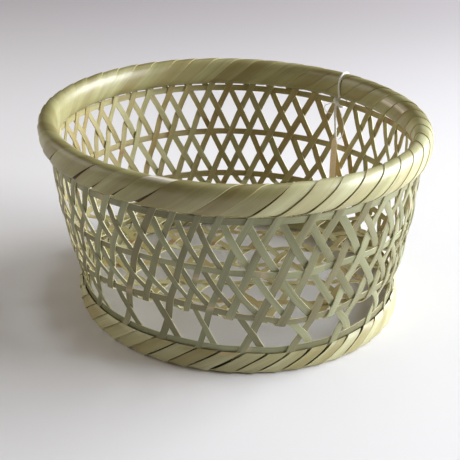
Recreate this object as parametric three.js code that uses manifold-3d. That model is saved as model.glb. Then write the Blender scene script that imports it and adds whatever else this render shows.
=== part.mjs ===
// A draining basket woven from split green bamboo. Floor strips cross under the bowl in a
// three-way hexagon weave, fold up at the floor hoop and run slanting to the rim. Leg strips run
// from the rim, past the floor, down to a foot ring. Four flat hoops pass between the strips, and
// rim and foot are bound with wide bamboo wraps. A blank tag hangs from the rim on a string.
// Millimetres, +Z up, origin on the ground under the middle of the rim.

import * as THREE from 'three';
import Module from 'manifold-3d';

const wasm = await Module();
wasm.setup();

// Bowl
const RIM_RADIUS = 114.35; // middle of the wall, under the rim
const FOOT_RADIUS = 100.8; // middle of the wall, in the foot
const WALL_BULGE = 2.2; // how far the wall swells out half way up
const FOOT_LEAN = 5.6; // the foot stands this far to +X of the middle of the rim
const FOOT_HEIGHT = 14.6;
const LOWER_TIER = 22; // foot hoop to floor hoop
const MIDDLE_TIER = 31; // floor hoop to middle hoop
const UPPER_TIER = 32.3; // middle hoop to upper hoop
const RIM_GAP = 1.5; // upper hoop to the underside of the rim
const RIM_HEIGHT = 17.3;

// Strips and hoops
const STRIP_WIDTH = 4.1;
const STRIP_THICKNESS = 0.8;
const HOOP_WIDTH = 4.1;
const HOOP_THICKNESS = 0.7;
const FLOOR_DIRECTIONS = 3;
const FLOOR_STRIPS_PER_SIDE = 4; // in each direction of the floor, on each side of its middle
const LEG_TO_FLOOR_STRIP = 6.6; // degrees from a crossing of legs to the next crossing of floor strips
const WEAVE_TURN = 1.5; // degrees that the weave is turned about the middle
const FOLD_DROP = 1.9; // the floor lies this far below the floor hoop
const DRAW_POWER = 8; // how late a floor strip leaves its straight line for its fold
const RIM_TUCK = 12.5; // how far the strips reach up into the rim
const FOOT_TUCK = 11; // how far the legs reach down into the foot

// How far the weave has drifted round the wall by hand: azimuths and drifts in degrees
const HAND_DRIFT = [
  [-180, 2.5],
  [-115, 1.2],
  [-88, -2.2],
  [-40, 4],
  [-20, 2.5],
  [49.4, 2],
  [75, 5.1],
  [120, 5.1],
  [180, 2.5],
];
// How much further the legs have drifted where they cross in the lower tier
const LOWER_DRIFT = [
  [-180, 0],
  [-160, 1.5],
  [-148, 2.7],
  [-133, 4],
  [-118, 4.3],
  [-103, 3.2],
  [-88, 4.9],
  [-73, 5],
  [-58, 3],
  [-43, 3],
  [-25, 1],
  [-10, 0],
  [180, 0],
];
const LOWER_DRIFT_POWER = 1.5; // how fast this fades on the way up to the crossings in the upper tier
const DRIFT_POWER = 2; // how fast the drift fades from the wall to the middle of the floor

// How far the hoops rise or sag by hand: azimuths in degrees and rises in millimetres
const FOOT_HOOP_RISE = [
  [-180, 0],
  [-110, 0],
  [-90, -1.3],
  [-75, -2.8],
  [-60, -2.6],
  [-40, -1],
  [-20, 0],
  [180, 0],
];
const FLOOR_HOOP_RISE = [
  [-180, 0],
  [-150, 0.5],
  [-133, 3.7],
  [-112, 7],
  [-98, 4.7],
  [-85, 0.3],
  [-72, -4.3],
  [-60, -2.8],
  [-46, 0.3],
  [-20, 0],
  [180, 0],
];
const MIDDLE_HOOP_RISE = [
  [-180, 0],
  [-145, 0],
  [-115, 2.4],
  [-104, 2],
  [-90, 0],
  [-72, -2.2],
  [-58, 0],
  [180, 0],
];
const RISE_POWER = 8; // how fast the rise fades from the wall to the middle of the floor

// Rim and foot
const RIM_HOOP_THICKNESS = 2.2;
const RIM_HOOP_HEIGHT = 12;
const RIM_CROWN = 5.4; // width of the flat on top of the rim
const FOOT_CORE_THICKNESS = 1;
const FOOT_CORE_HEIGHT = 11.5;
const FOOT_SOLE = 5.2; // width of the flat that the foot stands on
const FOOT_CHAMFER = 2.4;
const WRAP_THICKNESS = 1;

// Hanging tag
const STRING_DIAMETER = 1.2;
const KNOT_DIAMETER = 2.8;
const LOOP_BEND = 3; // radius of the string's bends round the rim, in string diameters
const TAG_DROP = 28; // knot to the top of the tag
const TAG_LENGTH = 32;
const TAG_WIDTH = 8;
const TAG_THICKNESS = 0.5;
const TAG_BOW = 0.6; // how far the tag curls
const TAG_CROSSING = 3; // the crossing of legs above which the string goes through the wall

// Clearances
const CLEARANCE = 0.3; // between pieces that lie on each other
const HOOP_CLEARANCE = 0.4; // between a hoop and the strips on its two sides
const SEAT_CLEARANCE = 0.45; // between the strips and what holds their ends
const CROSS_MARGIN = 0.5; // a strip stays level this far past the strip that it crosses
const LEG_JOIN = 0.1; // how deep two legs are sunk into each other where they cross

// Steps
const RING_SEGMENTS = 48;
const STRING_SIDES = 8;
const LOOP_STEPS = 3; // in each bend of the string
const TAG_STEPS = 4;
const CROSSING_STEPS = 10; // to find where two floor strips cross

// Levels
const footHoopZ = FOOT_HEIGHT + CLEARANCE + HOOP_WIDTH / 2;
const floorHoopZ = footHoopZ + LOWER_TIER;
const middleHoopZ = floorHoopZ + MIDDLE_TIER;
const upperHoopZ = middleHoopZ + UPPER_TIER;
const rimBottomZ = upperHoopZ + HOOP_WIDTH / 2 + RIM_GAP;
const rimMiddleZ = rimBottomZ + RIM_HEIGHT / 2;
const rimHoopBottomZ = rimMiddleZ - RIM_HOOP_HEIGHT / 2;
const rimHoopTopZ = rimMiddleZ + RIM_HOOP_HEIGHT / 2;
const lowerCrossZ = (footHoopZ + floorHoopZ) / 2;
const middleCrossZ = (floorHoopZ + middleHoopZ) / 2;
const upperCrossZ = (middleHoopZ + upperHoopZ) / 2;
const foldZ = floorHoopZ - HOOP_WIDTH / 2 - FOLD_DROP;
const stripTopZ = rimBottomZ + RIM_TUCK;
const legBottomZ = FOOT_HEIGHT - FOOT_TUCK;
const footCoreBottomZ = WRAP_THICKNESS + CLEARANCE;
const wallFootZ = footHoopZ + HOOP_WIDTH / 2 + CLEARANCE;

// Weave
const stripPairs = 2 * FLOOR_DIRECTIONS * FLOOR_STRIPS_PER_SIDE; // slanting each way, of each kind
const pitch = 360 / stripPairs;
const halfPitch = pitch / 2;
const overHoop = (HOOP_THICKNESS + STRIP_THICKNESS) / 2 + HOOP_CLEARANCE;
const overCore = (FOOT_CORE_THICKNESS + STRIP_THICKNESS) / 2 + SEAT_CLEARANCE;
const overStrip = (STRIP_THICKNESS + CLEARANCE) / 2;
const joinedLegs = (STRIP_THICKNESS - LEG_JOIN) / 2;

const rad = THREE.MathUtils.degToRad;
const deg = THREE.MathUtils.radToDeg;

// Radius of the middle of the wall: upright up to the foot hoop, swelling out on the way to the rim.
function wallRadius(z) {
  const t = Math.max((z - wallFootZ) / (rimBottomZ - wallFootZ), 0);
  return THREE.MathUtils.lerp(FOOT_RADIUS, RIM_RADIUS, t) + 4 * WALL_BULGE * t * (1 - t);
}

// The bowl leans evenly from its foot to the widest level of the rim.
function leanAt(z) {
  return FOOT_LEAN * (1 - z / rimHoopTopZ);
}

// A point at an azimuth in degrees, so far outside the middle of the wall, at a height.
function onWall(azimuth, offset, z) {
  const radius = wallRadius(z) + offset;
  return new THREE.Vector3(radius * Math.cos(rad(azimuth)) + leanAt(z), radius * Math.sin(rad(azimuth)), z);
}

// The value at a place along a table of places and values, easing from each to the next.
function easedAlong(table, place) {
  const next = Math.max(table.findIndex(([at]) => at >= place), 1);
  const [from, value] = table[next - 1];
  const [to, nextValue] = table[next];
  return THREE.MathUtils.lerp(value, nextValue, THREE.MathUtils.smoothstep(place, from, to));
}

function driftAt(azimuth, z) {
  const down = THREE.MathUtils.clamp((upperCrossZ - z) / (upperCrossZ - lowerCrossZ), 0, 1);
  return easedAlong(HAND_DRIFT, azimuth) + easedAlong(LOWER_DRIFT, azimuth) * down ** LOWER_DRIFT_POWER;
}

// A point's place about the upright axis of its level, and its share of the way out to the wall.
function inBowl({ x, y, z }) {
  const place = new THREE.Vector2(x - leanAt(z), y);
  return { place, azimuth: deg(Math.atan2(place.y, place.x)), out: Math.min(place.length() / wallRadius(z), 1) };
}

// A point of the weave, carried round by the drift: fully on the wall, less towards the middle of the floor.
function drifted(point) {
  const { place, azimuth, out } = inBowl(point);
  place.rotateAround(new THREE.Vector2(), rad(driftAt(azimuth, point.z) * out ** DRIFT_POWER));
  return new THREE.Vector3(place.x + leanAt(point.z), place.y, point.z);
}

// A point raised or lowered with the hoops above and below it.
function risen(point) {
  const { place, azimuth, out } = inBowl(point);
  const footRise = easedAlong(FOOT_HOOP_RISE, azimuth);
  const levels = [
    [0, 0],
    [FOOT_HEIGHT, footRise],
    [wallFootZ, footRise],
    [floorHoopZ, easedAlong(FLOOR_HOOP_RISE, azimuth)],
    [middleHoopZ, easedAlong(MIDDLE_HOOP_RISE, azimuth)],
    [upperHoopZ - HOOP_WIDTH / 2, 0],
  ];
  const next = levels.findIndex(([level]) => level >= point.z);
  if (next < 1) return point;
  const [from, rise] = levels[next - 1];
  const [to, nextRise] = levels[next];
  const z = point.z + THREE.MathUtils.mapLinear(point.z, from, to, rise, nextRise) * out ** RISE_POWER;
  return new THREE.Vector3(place.x + leanAt(point.z), place.y, z);
}

// A closed solid from rings of points, capped at both ends or joined end to end.
function loft(rings, endless = false) {
  const sides = rings[0].length;
  const positions = rings.flat().map(risen).flatMap((point) => [point.x, point.y, point.z]);
  const index = [];
  const spans = endless ? rings.length : rings.length - 1;
  for (let i = 0; i < spans; i++) {
    const here = i * sides;
    const next = ((i + 1) % rings.length) * sides;
    for (let k = 0; k < sides; k++) {
      const l = (k + 1) % sides;
      index.push(here + k, here + l, next + l, here + k, next + l, next + k);
    }
  }
  if (!endless) {
    const last = (rings.length - 1) * sides;
    for (let k = 1; k < sides - 1; k++) {
      index.push(0, k + 1, k, last, last + k, last + k + 1);
    }
  }
  const geometry = new THREE.BufferGeometry();
  geometry.setAttribute('position', new THREE.Float32BufferAttribute(positions, 3));
  geometry.setIndex(index);
  geometry.computeVertexNormals();
  return geometry;
}

// Four corners of a strip's section between its two edges, thick along its outer normal.
function stripRing(edgeA, edgeB, normal) {
  const half = normal.clone().multiplyScalar(STRIP_THICKNESS / 2);
  return [
    edgeA.clone().add(half),
    edgeB.clone().add(half),
    edgeB.clone().sub(half),
    edgeA.clone().sub(half),
  ];
}

function stripGeometry(rings) {
  return loft(rings.map((ring) => ring.map(drifted)));
}

// Slant of the strips: degrees round the wall from the crossing in the middle tier, by height.
function turnAt(z) {
  const neighbour = z > middleCrossZ ? upperCrossZ : lowerCrossZ;
  return (halfPitch * (z - middleCrossZ)) / Math.abs(neighbour - middleCrossZ);
}

function levelOfTurn(turn) {
  const neighbour = turn > 0 ? upperCrossZ : lowerCrossZ;
  return middleCrossZ + (turn * Math.abs(neighbour - middleCrossZ)) / halfPitch;
}

function slantAt(z) {
  const neighbour = z > middleCrossZ ? upperCrossZ : lowerCrossZ;
  return Math.atan((rad(halfPitch) * wallRadius(z)) / Math.abs(neighbour - middleCrossZ));
}

// How far above and below its centre a crossing of two strips reaches.
function crossReach(z) {
  return STRIP_WIDTH / 2 / Math.sin(slantAt(z)) + CROSS_MARGIN;
}

// Heights and offsets of a strip down the wall. It lies on one side of the hoops and of the strips
// that it meets beside them, and changes sides for the crossing in the middle of each tier.
function wallStations(isLeg, rising) {
  const side = rising ? 1 : -1;
  const besideHoop = isLeg === rising ? LEG_TO_FLOOR_STRIP / 2 : halfPitch - LEG_TO_FLOOR_STRIP / 2;
  const halfHoop = HOOP_WIDTH / 2 + CLEARANCE;
  const flat = (hoopZ, turn) => {
    const cross = levelOfTurn(turn);
    const reach = crossReach(cross);
    return {
      top: Math.max(hoopZ + halfHoop, cross + reach),
      bottom: Math.min(hoopZ - halfHoop, cross - reach),
    };
  };
  const upper = flat(upperHoopZ, besideHoop + halfPitch);
  const middle = flat(middleHoopZ, besideHoop);
  const floor = flat(floorHoopZ, besideHoop - halfPitch);
  const over = side * overHoop;
  const under = -side * overStrip;
  const stations = [
    [stripTopZ, over],
    [upperHoopZ, over],
    [upper.bottom, over],
    [upperCrossZ + crossReach(upperCrossZ), under],
    [upperCrossZ - crossReach(upperCrossZ), under],
    [middle.top, over],
    [middle.bottom, over],
    [middleCrossZ + crossReach(middleCrossZ), under],
    [middleCrossZ - crossReach(middleCrossZ), under],
    [floor.top, over],
  ];
  if (!isLeg) {
    return stations;
  }
  return stations.concat([
    [floorHoopZ - halfHoop, over],
    [lowerCrossZ + crossReach(lowerCrossZ), -side * joinedLegs],
    [lowerCrossZ - crossReach(lowerCrossZ), -side * joinedLegs],
    [footHoopZ + halfHoop, over],
    [legBottomZ, side * overCore],
  ]);
}

// A strip's section on the wall, level from edge to edge. The edges keep their order along a strip
// that comes down one wall and goes up the other, so the way up has them the other way round.
function wallRing(crossing, rising, [z, offset], goingDown, dip = 0) {
  const azimuth = crossing + (rising ? 1 : -1) * turnAt(z);
  const half = deg(STRIP_WIDTH / 2 / Math.cos(slantAt(z)) / wallRadius(z)) * (goingDown ? 1 : -1);
  const normal = new THREE.Vector3(Math.cos(rad(azimuth)), Math.sin(rad(azimuth)), -dip);
  return stripRing(onWall(azimuth + half, offset, z), onWall(azimuth - half, offset, z), normal);
}

// Legs
function legGeometry(crossing, rising) {
  return stripGeometry(wallStations(true, rising).map((s) => wallRing(crossing, rising, s, true)));
}

function solidOf(geometry) {
  return new wasm.Manifold(
    new wasm.Mesh({
      numProp: 3,
      vertProperties: new Float32Array(geometry.getAttribute('position').array),
      triVerts: new Uint32Array(geometry.getIndex().array),
    }),
  );
}

function geometryOf(solid) {
  const mesh = solid.getMesh();
  const geometry = new THREE.BufferGeometry();
  geometry.setAttribute('position', new THREE.Float32BufferAttribute(mesh.vertProperties, mesh.numProp));
  geometry.setIndex(Array.from(mesh.triVerts));
  geometry.computeVertexNormals();
  return geometry;
}

// The rising and the falling leg that cross in the lower tier, joined there.
function legPairGeometry(index) {
  const crossing = WEAVE_TURN - LEG_TO_FLOOR_STRIP + index * pitch;
  const rising = solidOf(legGeometry(crossing, true));
  const falling = solidOf(legGeometry(crossing - pitch, false));
  return geometryOf(rising.add(falling));
}

// Floor strips, straight and evenly spaced in the middle of the floor, drawn sideways near the
// wall to where they fold up.
const foldTurn = -turnAt(foldZ);
const floorRadius = wallRadius(foldZ);
const floorMiddle = new THREE.Vector3(leanAt(foldZ), 0, foldZ);
const foldAngle = (index) => rad(foldTurn + index * pitch);
const floorPitch =
  (floorRadius * Math.sin(foldAngle(FLOOR_STRIPS_PER_SIDE - 1))) / (FLOOR_STRIPS_PER_SIDE - 0.5);

const floorStrips = [];
for (let direction = 0; direction < FLOOR_DIRECTIONS; direction++) {
  for (const side of [1, -1]) {
    for (let index = 0; index < FLOOR_STRIPS_PER_SIDE; index++) {
      const heading = rad(WEAVE_TURN + (direction * 180) / FLOOR_DIRECTIONS);
      floorStrips.push({
        direction,
        side,
        index,
        heading: deg(heading),
        along: new THREE.Vector3(Math.cos(heading), Math.sin(heading), 0),
        across: new THREE.Vector3(-Math.sin(heading), Math.cos(heading), 0),
      });
    }
  }
}

// Sideways place of a strip's middle line, by the distance along it from its half way point.
function sidewaysAt(strip, along) {
  const straight = (strip.index + 0.5) * floorPitch;
  const atFold = floorRadius * Math.sin(foldAngle(strip.index));
  const halfLength = floorRadius * Math.cos(foldAngle(strip.index));
  const share = Math.min(Math.abs(along) / halfLength, 1) ** DRAW_POWER;
  return strip.side * THREE.MathUtils.lerp(straight, atFold, share);
}

// Where two strips of different directions cross, as distances along each of them.
function crossingOf(strip, other) {
  const cosine = strip.along.dot(other.along);
  const sine = strip.along.dot(other.across);
  let along = 0;
  let alongOther = 0;
  for (let step = 0; step < CROSSING_STEPS; step++) {
    const sideways = sidewaysAt(strip, along);
    const sidewaysOther = sidewaysAt(other, alongOther);
    along = (sidewaysOther - sideways * cosine) / sine;
    alongOther = (sidewaysOther * cosine - sideways) / sine;
  }
  const inside = Math.hypot(along, sidewaysAt(strip, along)) < floorRadius - STRIP_WIDTH / 2;
  const over = (other.direction - strip.direction + FLOOR_DIRECTIONS) % FLOOR_DIRECTIONS === 1;
  return { along, inside, over };
}

for (const strip of floorStrips) {
  strip.crossings = floorStrips
    .filter((other) => other.direction !== strip.direction)
    .map((other) => crossingOf(strip, other))
    .filter((crossing) => crossing.inside)
    .sort((first, second) => first.along - second.along);
}

// The strips rise and fall just enough to lie clear over the whole of each crossing.
const crossAngle = Math.PI / FLOOR_DIRECTIONS;
const crossLength = (STRIP_WIDTH / 2) * (1 / Math.tan(crossAngle) + 1 / Math.sin(crossAngle));
const floorReach = crossLength + CROSS_MARGIN;
const closestCrossings = Math.min(
  ...floorStrips.flatMap(({ crossings }) => crossings.slice(1).map((c, i) => c.along - crossings[i].along)),
);
const floorLift = overStrip / (1 - (2 * floorReach) / closestCrossings);

function floorRing(strip, { along, over }) {
  const middle = floorMiddle
    .clone()
    .addScaledVector(strip.along, along)
    .addScaledVector(strip.across, sidewaysAt(strip, along));
  middle.z += over ? floorLift : -floorLift;
  const toEdge = strip.across.clone().multiplyScalar(STRIP_WIDTH / 2);
  return stripRing(middle.clone().sub(toEdge), middle.clone().add(toEdge), new THREE.Vector3(0, 0, -1));
}

// One end of a floor strip, from the rim down to its fold.
function floorStripWall(strip, atFarEnd) {
  const rising = (strip.side > 0) !== atFarEnd;
  const way = atFarEnd ? strip.side : -strip.side;
  const crossing = strip.heading + (atFarEnd ? 0 : 180) + way * strip.index * pitch;
  const rings = wallStations(false, rising).map((s) => wallRing(crossing, rising, s, !atFarEnd));
  const fold = [foldZ, rising ? overHoop : -overHoop];
  rings.push(wallRing(crossing, rising, fold, !atFarEnd, 1));
  return rings;
}

function floorStripGeometry(strip) {
  return stripGeometry([
    ...floorStripWall(strip, false),
    ...strip.crossings.map((crossing) => floorRing(strip, crossing)),
    ...floorStripWall(strip, true).reverse(),
  ]);
}

// Rings. The corners of each ring lie a little outside its true circle, and its flats as much inside.
const flatsToCorners = (1 + 1 / Math.cos(Math.PI / RING_SEGMENTS)) / 2;

// A ring with a section given by points of offset from the middle of the wall and height.
function ringGeometry(section) {
  const rings = [];
  for (let i = 0; i < RING_SEGMENTS; i++) {
    const azimuth = (i * 360) / RING_SEGMENTS;
    rings.push(
      section.map(([offset, z]) => {
        const radius = (wallRadius(z) + offset) * flatsToCorners;
        return onWall(azimuth, radius - wallRadius(z), z);
      }),
    );
  }
  return loft(rings, true);
}

function band(from, to, bottom, top) {
  return ringGeometry([
    [from, bottom],
    [from, top],
    [to, top],
    [to, bottom],
  ]);
}

function hoopGeometry(z) {
  return band(-HOOP_THICKNESS / 2, HOOP_THICKNESS / 2, z - HOOP_WIDTH / 2, z + HOOP_WIDTH / 2);
}

// The rim's two hoops hold the ends of the strips between them.
const rimSeat = overHoop + STRIP_THICKNESS / 2 + SEAT_CLEARANCE;
const rimHoopBack = rimSeat + RIM_HOOP_THICKNESS;

function rimHoopGeometry(side) {
  const [from, to] = side > 0 ? [rimSeat, rimHoopBack] : [-rimHoopBack, -rimSeat];
  return band(from, to, rimHoopBottomZ, rimHoopTopZ);
}

// Half of a wrap's section, mirrored to the other side of the wall: outline out, lining back.
function wrapSection(outline, lining) {
  const mirrored = (points) => points.map(([offset, z]) => [-offset, z]).reverse();
  return [...mirrored(outline), ...outline, ...[...lining].reverse(), ...mirrored([...lining].reverse())];
}

// The rim's wrap is open below, where the strips go in.
const rimInside = rimHoopBack + CLEARANCE;
const rimOutside = rimInside + WRAP_THICKNESS;
const rimTopZ = rimBottomZ + RIM_HEIGHT;

function rimWrapGeometry() {
  const outline = [
    [RIM_CROWN / 2, rimTopZ],
    [rimOutside, rimHoopTopZ],
    [rimOutside, rimHoopBottomZ],
    [rimSeat, rimBottomZ],
  ];
  const lining = [
    [RIM_CROWN / 2, rimTopZ - WRAP_THICKNESS],
    [rimInside, rimHoopTopZ],
    [rimInside, rimHoopBottomZ],
    [rimSeat, rimBottomZ + WRAP_THICKNESS],
  ];
  return ringGeometry(wrapSection(outline, lining));
}

// The foot's wrap is open above, and flat below where the basket stands.
function footWrapGeometry() {
  const inside = overCore + STRIP_THICKNESS / 2 + SEAT_CLEARANCE;
  const outside = inside + WRAP_THICKNESS;
  const outline = [
    [FOOT_SOLE / 2, 0],
    [outside, FOOT_CHAMFER],
    [outside, FOOT_HEIGHT],
  ];
  const lining = [
    [FOOT_SOLE / 2, WRAP_THICKNESS],
    [inside, FOOT_CHAMFER],
    [inside, FOOT_HEIGHT],
  ];
  return ringGeometry(wrapSection(outline, lining).reverse());
}

function footCoreGeometry() {
  const half = FOOT_CORE_THICKNESS / 2;
  return band(-half, half, footCoreBottomZ, footCoreBottomZ + FOOT_CORE_HEIGHT);
}

// Hanging tag. Its string goes round the rim and the upper hoop, through the gap above a crossing of
// legs, and is knotted inside the rim, and the tag hangs from the knot. All of it lies in one upright
// plane through the middle of the bowl, and the tag is square to that plane.
const tagGap = WEAVE_TURN - LEG_TO_FLOOR_STRIP + (TAG_CROSSING + 0.5) * pitch;
const tagAzimuth = tagGap + driftAt(tagGap, rimBottomZ);
const outward = new THREE.Vector3(Math.cos(rad(tagAzimuth)), Math.sin(rad(tagAzimuth)), 0);
const upward = new THREE.Vector3(0, 0, 1);
const aside = new THREE.Vector3().crossVectors(upward, outward);
const stringAway = rimOutside + CLEARANCE + STRING_DIAMETER / 2;
const loopTopZ = rimTopZ + CLEARANCE + STRING_DIAMETER / 2;
const loopBottomZ = upperHoopZ - HOOP_WIDTH / 2 - CLEARANCE - STRING_DIAMETER;
const loopCorner = LOOP_BEND * STRING_DIAMETER;
const knotZ = rimBottomZ;
const knotInward = stringAway + STRING_DIAMETER / 2 + CLEARANCE + KNOT_DIAMETER / 2;
const knot = onWall(tagAzimuth, -knotInward, knotZ);

// Corners of a string's section across its path, round a point.
function stringRing(point, forward, radius = STRING_DIAMETER / 2) {
  const normal = new THREE.Vector3().crossVectors(forward, aside).normalize();
  return Array.from({ length: STRING_SIDES }, (_, k) => {
    const angle = (k * 2 * Math.PI) / STRING_SIDES;
    return point
      .clone()
      .addScaledVector(aside, radius * Math.cos(angle))
      .addScaledVector(normal, radius * Math.sin(angle));
  });
}

function stringLoopGeometry() {
  const halfWidth = stringAway - loopCorner;
  const corners = [
    [halfWidth, loopTopZ - loopCorner],
    [-halfWidth, loopTopZ - loopCorner],
    [-halfWidth, loopBottomZ + loopCorner],
    [halfWidth, loopBottomZ + loopCorner],
  ];
  const rings = corners.flatMap(([across, z], quarter) =>
    Array.from({ length: LOOP_STEPS + 1 }, (_, step) => {
      const angle = ((quarter + step / LOOP_STEPS) * Math.PI) / 2;
      const offset = across + loopCorner * Math.cos(angle);
      const point = onWall(tagAzimuth, offset, z + loopCorner * Math.sin(angle));
      const forward = outward
        .clone()
        .multiplyScalar(-Math.sin(angle))
        .addScaledVector(upward, Math.cos(angle));
      return stringRing(point, forward);
    }),
  );
  return loft(rings, true);
}

// The knot and the string that hangs from it down to the tag.
function tagStringGeometry() {
  const radius = STRING_DIAMETER / 2;
  const knotRadius = KNOT_DIAMETER / 2;
  const profile = [
    [knotRadius, radius],
    [knotRadius / 2, knotRadius],
    [-knotRadius / 2, knotRadius],
    [-knotRadius, radius],
    [CLEARANCE - TAG_DROP, radius],
  ];
  const down = upward.clone().negate();
  return loft(profile.map(([rise, r]) => stringRing(knot.clone().addScaledVector(upward, rise), down, r)));
}

function tagGeometry() {
  const rings = Array.from({ length: TAG_STEPS + 1 }, (_, step) => {
    const share = step / TAG_STEPS;
    const bow = 4 * TAG_BOW * share * (1 - share);
    const middle = knot.clone().addScaledVector(outward, -bow);
    middle.z -= TAG_DROP + share * TAG_LENGTH;
    const corner = (width, depth) =>
      middle
        .clone()
        .addScaledVector(aside, (width * TAG_WIDTH) / 2)
        .addScaledVector(outward, (depth * TAG_THICKNESS) / 2);
    return [corner(1, 1), corner(-1, 1), corner(-1, -1), corner(1, -1)];
  });
  return loft(rings);
}

// Materials
const matte = (color, roughness) => new THREE.MeshStandardMaterial({ color, roughness, metalness: 0 });

const basket = new THREE.Group();

function addPiece(name, geometry, material) {
  const mesh = new THREE.Mesh(geometry, material);
  mesh.name = name;
  basket.add(mesh);
}

const numbered = (name, index) => `${name}_${String(index + 1).padStart(2, '0')}`;

floorStrips.forEach((strip, index) => {
  addPiece(numbered('floor_strip', index), floorStripGeometry(strip), matte(0xb9b98a, 0.5));
});
for (let index = 0; index < stripPairs; index++) {
  addPiece(numbered('leg_pair', index), legPairGeometry(index), matte(0xaeb285, 0.5));
}
addPiece('hoop_upper', hoopGeometry(upperHoopZ), matte(0xb4b788, 0.5));
addPiece('hoop_middle', hoopGeometry(middleHoopZ), matte(0xb4b788, 0.5));
addPiece('hoop_floor', hoopGeometry(floorHoopZ), matte(0xb4b788, 0.5));
addPiece('hoop_foot', hoopGeometry(footHoopZ), matte(0xb4b788, 0.5));
addPiece('rim_hoop_inner', rimHoopGeometry(-1), matte(0xc2bd8c, 0.6));
addPiece('rim_hoop_outer', rimHoopGeometry(1), matte(0xc2bd8c, 0.6));
addPiece('rim_wrap', rimWrapGeometry(), matte(0xc4c394, 0.4));
addPiece('foot_core', footCoreGeometry(), matte(0xc2bd8c, 0.6));
addPiece('foot_wrap', footWrapGeometry(), matte(0xbdb987, 0.45));

addPiece('string_loop', stringLoopGeometry(), matte(0xeceae2, 0.9));
addPiece('tag_string', tagStringGeometry(), matte(0xeceae2, 0.9));
addPiece('tag', tagGeometry(), matte(0xd9c3a2, 0.8));

export default basket;
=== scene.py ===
"""A draining basket woven from split green bamboo: its strips, hoops, wraps, string and tag.

The bowl is worked out upright in millimetres, as in its solids, and leans and turns to metres
when a piece is finished.
"""

import math
import random

import bmesh
import bpy
from mathutils import Matrix, Vector


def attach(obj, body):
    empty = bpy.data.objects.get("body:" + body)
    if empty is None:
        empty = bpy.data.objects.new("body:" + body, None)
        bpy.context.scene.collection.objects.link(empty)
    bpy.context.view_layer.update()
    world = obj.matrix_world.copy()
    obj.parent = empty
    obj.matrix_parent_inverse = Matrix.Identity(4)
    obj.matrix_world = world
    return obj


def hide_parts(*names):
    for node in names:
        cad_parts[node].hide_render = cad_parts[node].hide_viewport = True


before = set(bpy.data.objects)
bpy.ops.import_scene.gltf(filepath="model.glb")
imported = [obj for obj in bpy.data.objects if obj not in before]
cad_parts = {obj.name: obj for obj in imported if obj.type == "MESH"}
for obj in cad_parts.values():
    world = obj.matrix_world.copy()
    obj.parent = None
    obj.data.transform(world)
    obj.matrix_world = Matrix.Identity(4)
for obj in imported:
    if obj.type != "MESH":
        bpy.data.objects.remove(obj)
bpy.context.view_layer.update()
MM = 0.001

# Bowl
RIM_RADIUS = 114.35
FOOT_RADIUS = 100.8
WALL_BULGE = 2.2
FOOT_LEAN = 5.6
FOOT_HEIGHT = 14.6
LOWER_TIER = 22
MIDDLE_TIER = 31
UPPER_TIER = 32.3
RIM_GAP = 1.5
RIM_HEIGHT = 17.3
RIM_HOOP_HEIGHT = 12

# Strips and hoops
STRIP_WIDTH = 4.1
STRIP_THICKNESS = 0.7
STRIP_CROWN = 0.1
HOOP_WIDTH = 4.1
HOOP_THICKNESS = 0.6
FLOOR_DIRECTIONS = 3
FLOOR_STRIPS_PER_SIDE = 4
LEG_TO_FLOOR_STRIP = 6.6
WEAVE_TURN = 1.5
FOLD_DROP = 1.9
DRAW_POWER = 8
RIM_TUCK = 12.5
FOOT_TUCK = 11
EASED_EDGE = 0.14

# How far the weave has drifted round the wall by hand: azimuths and drifts in degrees
HAND_DRIFT = (
    (-180, 2.5),
    (-115, 1.2),
    (-88, -2.2),
    (-40, 4),
    (-20, 2.5),
    (49.4, 2),
    (75, 5.1),
    (120, 5.1),
    (180, 2.5),
)
# How much further the legs have drifted where they cross in the lower tier
LOWER_DRIFT = (
    (-180, 0),
    (-160, 1.5),
    (-148, 2.7),
    (-133, 4),
    (-118, 4.3),
    (-103, 3.2),
    (-88, 4.9),
    (-73, 5),
    (-58, 3),
    (-43, 3),
    (-25, 1),
    (-10, 0),
    (180, 0),
)
LOWER_DRIFT_POWER = 1.5
DRIFT_POWER = 2

# How far the hoops rise or sag by hand: azimuths in degrees and rises in millimetres
FOOT_HOOP_RISE = (
    (-180, 0),
    (-110, 0),
    (-90, -1.3),
    (-75, -2.8),
    (-60, -2.6),
    (-40, -1),
    (-20, 0),
    (180, 0),
)
FLOOR_HOOP_RISE = (
    (-180, 0),
    (-150, 0.5),
    (-133, 3.7),
    (-112, 7),
    (-98, 4.7),
    (-85, 0.3),
    (-72, -4.3),
    (-60, -2.8),
    (-46, 0.3),
    (-20, 0),
    (180, 0),
)
MIDDLE_HOOP_RISE = (
    (-180, 0),
    (-145, 0),
    (-115, 2.4),
    (-104, 2),
    (-90, 0),
    (-72, -2.2),
    (-58, 0),
    (180, 0),
)
RISE_POWER = 8

# Clearances
CLEARANCE = 0.3
TOUCHING = 0.08
CROSS_MARGIN = 0.5
FOOT_CORE_THICKNESS = 1

# Levels
FOOT_HOOP_Z = FOOT_HEIGHT + CLEARANCE + HOOP_WIDTH / 2
FLOOR_HOOP_Z = FOOT_HOOP_Z + LOWER_TIER
MIDDLE_HOOP_Z = FLOOR_HOOP_Z + MIDDLE_TIER
UPPER_HOOP_Z = MIDDLE_HOOP_Z + UPPER_TIER
RIM_BOTTOM_Z = UPPER_HOOP_Z + HOOP_WIDTH / 2 + RIM_GAP
RIM_MIDDLE_Z = RIM_BOTTOM_Z + RIM_HEIGHT / 2
RIM_HOOP_TOP_Z = RIM_MIDDLE_Z + RIM_HOOP_HEIGHT / 2
LOWER_CROSS_Z = (FOOT_HOOP_Z + FLOOR_HOOP_Z) / 2
MIDDLE_CROSS_Z = (FLOOR_HOOP_Z + MIDDLE_HOOP_Z) / 2
UPPER_CROSS_Z = (MIDDLE_HOOP_Z + UPPER_HOOP_Z) / 2
FOLD_Z = FLOOR_HOOP_Z - HOOP_WIDTH / 2 - FOLD_DROP
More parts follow.
